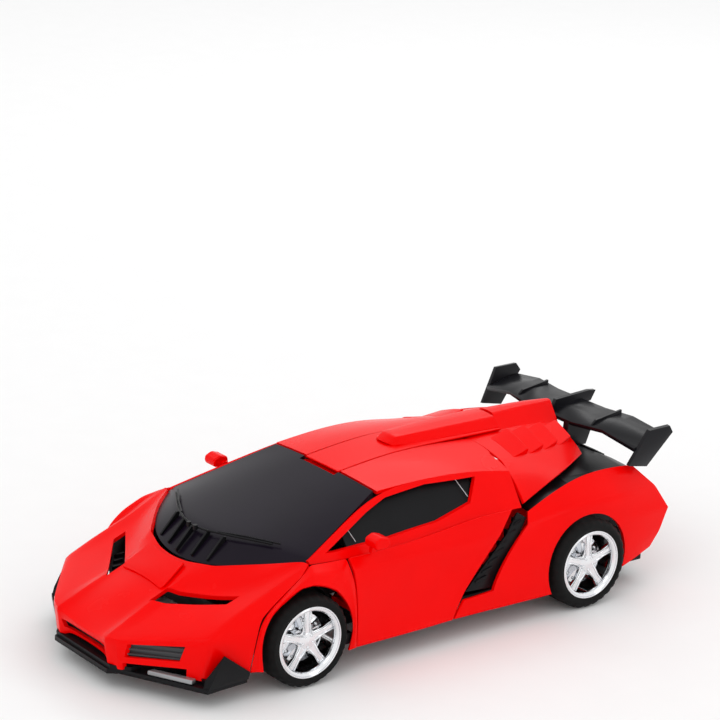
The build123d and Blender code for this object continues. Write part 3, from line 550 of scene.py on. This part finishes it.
dress(tube("crest_hinge", [(-10.6, -12, 55.1), (10.6, -12, 55.1)], 0.3), "torso", "steel", "crest_pin")

# engine deck, spine and louvres
DECK = [
    [(0, 47.5, 56.8), (11.4, 47.5, 56.8), (20, 47.5, 56.3), (30, 47.5, 53.8), (38.2, 47.6, 48.2),
     (43.9, 47.8, 41.2)],
    [(0, 64, 56.6), (10.6, 64, 57), (18, 64, 55.4), (27, 64, 52), (33.8, 64, 47.6), (38.6, 64, 44.4)],
    [(0, 80, 56), (9.4, 80, 56), (15, 80, 54), (23, 80, 50.5), (28, 80, 47.6), (31.6, 80, 45.6)],
    [(0, 94, 53.6), (7, 94, 53.6), (11.6, 94, 52), (18, 94, 49), (21, 94, 47.2), (23, 94, 45.4)],
]
deck = grid("deck_skin", DECK, {0: 1, 3: 1}, {1: 0.3, 3: 0.5, 5: 1.0}, level=3, wall=1.5, both=True)
dress(deck, "base", "red_gloss", "rear_deck")
spine = grid("spine_skin", [
    [(0, 64.2, 62.4), (3.4, 64.2, 62), (9.6, 64.2, 56)],
    [(0, 84, 62.2), (2.4, 84, 61.7), (9, 84, 54)],
    [(0, 95.4, 61.2), (1.4, 95.4, 60.8), (8.6, 95.4, 50)],
], {0: 1, 2: 1}, {1: 0.8, 2: 1}, level=3, wall=1.2, both=True)
dress(spine, "base", "red_gloss")


def on_deck(y, column, lift):
    """A point above the deck, its column counted across the deck's rows."""
    k = max(i for i in range(len(DECK) - 1) if DECK[i][0][1] <= y)
    c = int(column)
    t, f = (y - DECK[k][0][1]) / (DECK[k + 1][0][1] - DECK[k][0][1]), column - c
    near, far = [[a + (b - a) * f for a, b in zip(DECK[r][c], DECK[r][c + 1])] for r in (k, k + 1)]
    spot = [a + (b - a) * t for a, b in zip(near, far)]
    return (spot[0], y, spot[2] + lift)


steps = []
for k in range(4):
    y = 55 + 9.4 * k
    rows = [[on_deck(y + 8.6 * along, column, lift) for column in (1.35, 2, 2.95)]
            for along, lift in ((0, 0), (1, 2.3))]
    steps.append(grid("louvre_%d" % k, rows, {0: 1, 1: 1}, {0: 1, 2: 1}, level=1, wall=2.2))
    steps.append(flipped(steps[-1], "louvre_m_%d" % k))
dress(merge("deck_steps", *steps), "base", "red_gloss")
pins = [tube("pin_left", [(20.4, 47, 54), (28.2, 47, 53.4)], 0.5),
        tube("pin_right", [(-28.2, 47, 53.4), (-20.4, 47, 54)], 0.5)]
dress(merge("hip_hinge", *pins), "base", "steel", "hip_pins")
EAR_TOPS = [(39, 53.6), (50, 53.6), (50, 62), (39, 62)]
ears = [prism("ear_l", EAR_TOPS, "x", 18, 30), prism("ear_r", EAR_TOPS, "x", -30, -18)]
default_piece("torso_frame", trims=ears)


# ------------------------------------------------------------------ robot: head, chest and thighs
HEAD_SHELL = [
    [(0, -42, 29), (4, -41.6, 28.6), (8, -39.4, 27.6), (9.3, -33, 26), (9.2, -24, 26), (8, -18.4, 27)],
    [(0, -41.8, 34), (4, -41.4, 33.6), (7.6, -39, 32.6), (9.2, -33, 31.4), (9.1, -24, 31.4),
     (7.6, -18, 31.6)],
    [(0, -38.6, 36.2), (3.6, -38, 35.8), (6.4, -36, 35.2), (7.4, -31, 34.9), (7.2, -24, 34.9),
     (6, -18.4, 34.6)],
    [(0, -30, 36.4), (2, -30, 36.3), (3.6, -30, 36), (4.4, -29, 35.8), (4.4, -24, 35.6), (4, -19, 35.4)],
]
head = [grid("helmet_shell", HEAD_SHELL, {0: 1, 3: 0.6}, {}, level=2, wall=1.0, both=True),
        moulded("helmet_core", [(-7, 26.4), (7, 26.4), (6.2, 35), (-6.2, 35)], "y", -36, -18, 0.8),
        moulded("brow", [(-7.6, 23.6), (7.6, 23.6), (7.6, 27.4), (-7.6, 27.4)], "y", -36.4, -34.2, 0.6)]
CHEEK = [(-34, 22.4), (-20, 22.6), (-18.4, 30), (-36, 30)]
HORN = [(-44, 31), (-38, 27.4), (-26, 30), (-24, 35.4), (-36, 36.4)]
CROWN = [(-45, 33), (-40, 26), (-34, 24.6), (-24, 34), (-26, 36.6), (-40, 36.6)]
for turn in (1, -1):
    head.append(moulded("cheek", CHEEK, "x", *sorted((turn * 7, turn * 9.1)), 0.6))
    head.append(moulded("horn", HORN, "x", *sorted((turn * 5.4, turn * 6.8)), 0.5))
head.append(moulded("crown", CROWN, "x", -0.9, 0.9, 0.4))
dress(merge("helmet_v", *head), "head", "black_satin", "helmet")
JAW = [(-5.2, -21.6), (-3.4, -18.4), (3.4, -18.4), (5.2, -21.6), (5.4, -26.6), (-5.4, -26.6)]
CHIN = [(-2.6, -20.6), (0, -17.9), (2.6, -20.6), (1.6, -24.4), (-1.6, -24.4)]
NOSE = [(-26.4, 21.9), (-32.4, 22.4), (-32.4, 25), (-26.4, 24)]
mask = [moulded("jaw", JAW, "z", 22.2, 26, 0.6), moulded("chin", CHIN, "z", 21.7, 25, 0.4),
        moulded("nose", NOSE, "x", -0.8, 0.8, 0.3)]
for turn in (1, -1):
    stripe = [(turn * 0.9, -33), (turn * 4.9, -40.6), (turn * 6.4, -38.6), (turn * 2.2, -30.8)]
    mask.append(moulded("stripe", stripe, "z", 22.6, 25, 0.3))
    bar = [(turn * 5.2, -22), (turn * 7, -30), (turn * 8.2, -27.6), (turn * 6.6, -20.4)]
    mask.append(moulded("cheek_bar", bar, "z", 22.4, 25.4, 0.3))
    for k in range(3):
        ends = [(turn * 0.8, -20.6 - 1.6 * k, 21.9), (turn * 4.4, -21.4 - 1.6 * k, 22.1)]
        mask.append(tube("grille", ends, 0.28, 6))
dress(merge("face_v", *mask), "head", "silver_paint", "face_mask")
CHEVRON = [(-20, -22), (-13.5, -22), (0, -8.6), (13.5, -22), (20, -22), (0, 0)]
plate = [moulded("chevron", CHEVRON, "z", 11.2, 14, 0.7),
         moulded("keel", [(-20, -14), (20, -14), (0, -1.4)], "z", 12.4, 14, 0.4),
         moulded("ridge", [(-1, -9.4), (1, -9.4), (0.4, -0.6), (-0.4, -0.6)], "z", 10.4, 12, 0.3)]
dress(merge("breastplate_v", *plate), "torso", "silver_paint", "breastplate")
SHIELD = [(-21, -19), (0, 3.4), (21, -19), (21, -6), (12, 6.3), (0, 17), (-12, 6.3), (-21, -6)]
shield = [moulded("shield", SHIELD, "z", 11.4, 14, 0.8),
          moulded("shield_ridge", [(-1.4, 4), (1.4, 4), (0.5, 16), (-0.5, 16)], "z", 10.8, 12, 0.3),
          prism("shield_root", [(-11.9, 0), (11.9, 0), (11.9, 6.3), (-11.9, 6.3)], "z", 13.9, 16.5)]
for turn in (1, -1):
    for k in range(3):
        rib = [(turn * 19.8, -14.6 + 4 * k), (turn * 20.4, -12.4 + 4 * k),
               (turn * 8.4, 0.4 + 3.6 * k), (turn * 8, -1 + 3.6 * k)]
        shield.append(moulded("flute", rib, "z", 10.9, 12, 0.25, 2))
dress(merge("torso_armor_v", *shield), "torso", "red_gloss", "torso_armor")
struts = []
for turn in (1, -1):
    x = turn * 30.4
    struts.append(tube("piston", [(x, 28, 28), (x, 45.4, 28)], 1.1, 16))
    for k in range(5):
        struts.append(tube("collar", [(x, 30 + 3.2 * k, 28), (x, 31.4 + 3.2 * k, 28)], 1.5, 16))
    lo, hi = sorted((turn * 28.6, turn * 30.4))
    bracket = [(34, 26.8), (38, 26.8), (38, 29.2), (34, 29.2)]
    struts.append(moulded("bracket", bracket, "x", lo, hi, 0.2, 2))
dress(merge("thigh_pistons_v", *struts), "torso", "chrome", "thigh_pistons")


# ------------------------------------------------------------------ wheels
def around(axle, angle, r, w=0.0):
    """A (y, z) point r from the axle towards the angle, and w to the side of that line."""
    return (axle[0] + r * math.cos(angle) - w * math.sin(angle),
            axle[1] + r * math.sin(angle) + w * math.cos(angle))


def tyre(end, axle, radius, width, body):
    """A tread of blocks between two rounded walls."""
    face, back = HUB_FACE, HUB_FACE - width + 1
    rubber = [(back - 0.8, 13.4), (back - 1.2, 15), (back - 0.4, radius - 0.9), (back + 1, radius),
              (back + 4, radius), (face - 4, radius), (face - 1, radius - 0.05), (face + 0.2, radius - 0.9),
              (face + 0.7, 15.6), (face + 0.7, 14.6), (face + 0.2, 13.3)]
    piece = lathe("left_%s_tyre_v" % end, rubber, axle, 90, tread=(2, 3, 6, 7))
    bevel(piece, 0.2, 35, 2)
    pair(piece, body, "tyre", "left_%s_tyre" % end)


def star(axle):
    """Five spokes with raised edges, and a nut between each two."""
    face = HUB_FACE
    outline = []
    for k in range(SPOKES):
        a = math.radians(90 + 72 * k)
        for r, w in ((3.6, -2.1), (7.5, -1.3), (11.7, -1.9), (11.7, 1.9), (7.5, 1.3), (3.6, 2.1)):
            outline.append(around(axle, a, r, w))
    parts = [moulded("star", outline, "x", face - 3.4, face - 1.6, 0.45)]
    for k in range(SPOKES):
        a = math.radians(90 + 72 * k)
        for w in (-1.2, 1.2):
            ends = [(face - 1.5, *around(axle, a, r, w * q)) for r, q in ((2.6, 1.2), (7.5, 0.72),
                    (11.8, 1.1))]
            parts.append(tube("ridge", ends, 0.38, 8))
        nut = [(face - 1.8, 0), (face - 1.8, 0.45), (face - 0.9, 0.45), (face - 0.9, 0)]
        parts.append(lathe("nut", nut, around(axle, a + math.radians(36), 2.3), 10))
    return parts


def brake(axle):
    """The hub cap, and a disc with its ring of bosses behind the spokes."""
    face = HUB_FACE
    cap = [(face - 7.5, 0), (face - 7.5, 3.5), (face - 1.9, 3.5), (face - 1.3, 2.9), (face - 1.1, 1.4),
           (face - 0.9, 0)]
    disc = [(face - 6.6, 3), (face - 6.6, 9.2), (face - 5.6, 9.2), (face - 5.4, 5.4), (face - 5, 3)]
    parts = [bevel(lathe("cap", cap, axle, 40), 0.15, 20), bevel(lathe("disc", disc, axle, 60), 0.15, 20)]
    boss = [(face - 5.7, 0), (face - 5.7, 0.7), (face - 5.1, 0.5), (face - 5.1, 0)]
    for k in range(12):
        parts.append(lathe("boss", boss, around(axle, math.radians(30 * k), 7.4), 10))
    return parts


def rim(end, axle, width, body):
    """The barrel, its lip, the star and the brake as one bright piece."""
    face, back = HUB_FACE, HUB_FACE - width + 1
    barrel = [(back, 13.2), (back, 12.3), (face - 2.4, 12.1), (face - 1.4, 11.4), (face - 0.6, 11.4),
              (face, 11.8),
              (face + 0.3, 12.5), (face - 0.1, 13.2)]
    lip = [(face - 0.1, 12.9), (face - 0.1, 13.35), (face + 0.5, 13.35), (face + 0.5, 12.9)]
    parts = [bevel(lathe("barrel", barrel, axle, 72), 0.15, 25, 2), bevel(lathe("ring", lip, axle, 72), 0.15)]
    shiny = merge("left_%s_rim_v" % end, *parts, *star(axle), *brake(axle))
    for f in shiny.data.polygons:
        f.use_smooth = True
    pair(shiny, body, "chrome", "left_%s_rim" % end)


def wheel(end, axle, radius, width, body):
    """One wheel on the left and its twin on the right."""
    tyre(end, axle, radius, width, body)
    rim(end, axle, width, body)


wheel("front", FRONT_AXLE, FRONT_TYRE, 13, "left_front_wheel")
wheel("rear", REAR_AXLE, REAR_TYRE, 15, "left_rear_wheel")

for side in ("left", "right"):
    lamp = default_piece(side + "_fog_lamp", width=0.5)
    lamp.data.materials[0] = LAMP
REFINED = set()
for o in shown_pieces():
    REFINED.update(o.get("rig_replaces", []))
for node in sorted(set(NODES) - REFINED):
    default_piece(node)

# ------------------------------------------------------------------ stage, light, camera
floor = new_object("floor", [(-4, -4, 0), (4, -4, 0), (4, 4, 0), (-4, 4, 0)], [(0, 1, 2, 3)])
floor.data.materials.append(material("paper", (0.9, 0.9, 0.9), 0.85, tint=0.005, bump=0.0, spec=0.1))
world = bpy.data.worlds.new("studio")
bpy.context.scene.world = world
world.use_nodes = True
world.node_tree.nodes["Background"].inputs["Color"].default_value = (1, 1, 1, 1)
world.node_tree.nodes["Background"].inputs["Strength"].default_value = 0.95


def softbox(name, place, size, power, aim=(0, 0, 0.03)):
    """A soft lamp that points at the car."""
    lamp = bpy.data.lights.new(name, "AREA")
    lamp.shape = "RECTANGLE"
    lamp.size, lamp.size_y = size
    lamp.energy = power
    obj = bpy.data.objects.new(name, lamp)
    obj.location = place
    obj.rotation_euler = (Vector(aim) - Vector(place)).to_track_quat("-Z", "Y").to_euler()
    bpy.context.scene.collection.objects.link(obj)


softbox("key", (0.4, -0.8, 1.1), (0.9, 0.5), 1.6)
softbox("side", (1.2, 0.5, 0.6), (0.35, 0.9), 1.0)
softbox("back", (-0.5, 0.9, 0.9), (1.2, 0.25), 2.5)
bpy.context.scene.view_settings.view_transform = "Standard"

AZIMUTH, ELEVATION, ROLL = math.radians(52.84), math.radians(17.8), math.radians(1.42)
DISTANCE, AIM = 1.0472, Vector((0, 0.0028, 0.09585))
away = Vector((math.sin(AZIMUTH) * math.cos(ELEVATION), -math.cos(AZIMUTH) * math.cos(ELEVATION),
               math.sin(ELEVATION)))
cam = bpy.data.cameras.new("camera")
cam.sensor_width = 36
cam.lens = 142.08
camera = bpy.data.objects.new("camera", cam)
camera.location = AIM + away * DISTANCE
camera.rotation_euler = (-away).to_track_quat("-Z", "Y").to_euler()
camera.rotation_euler.rotate_axis("Z", ROLL)
bpy.context.scene.collection.objects.link(camera)
bpy.context.scene.camera = camera
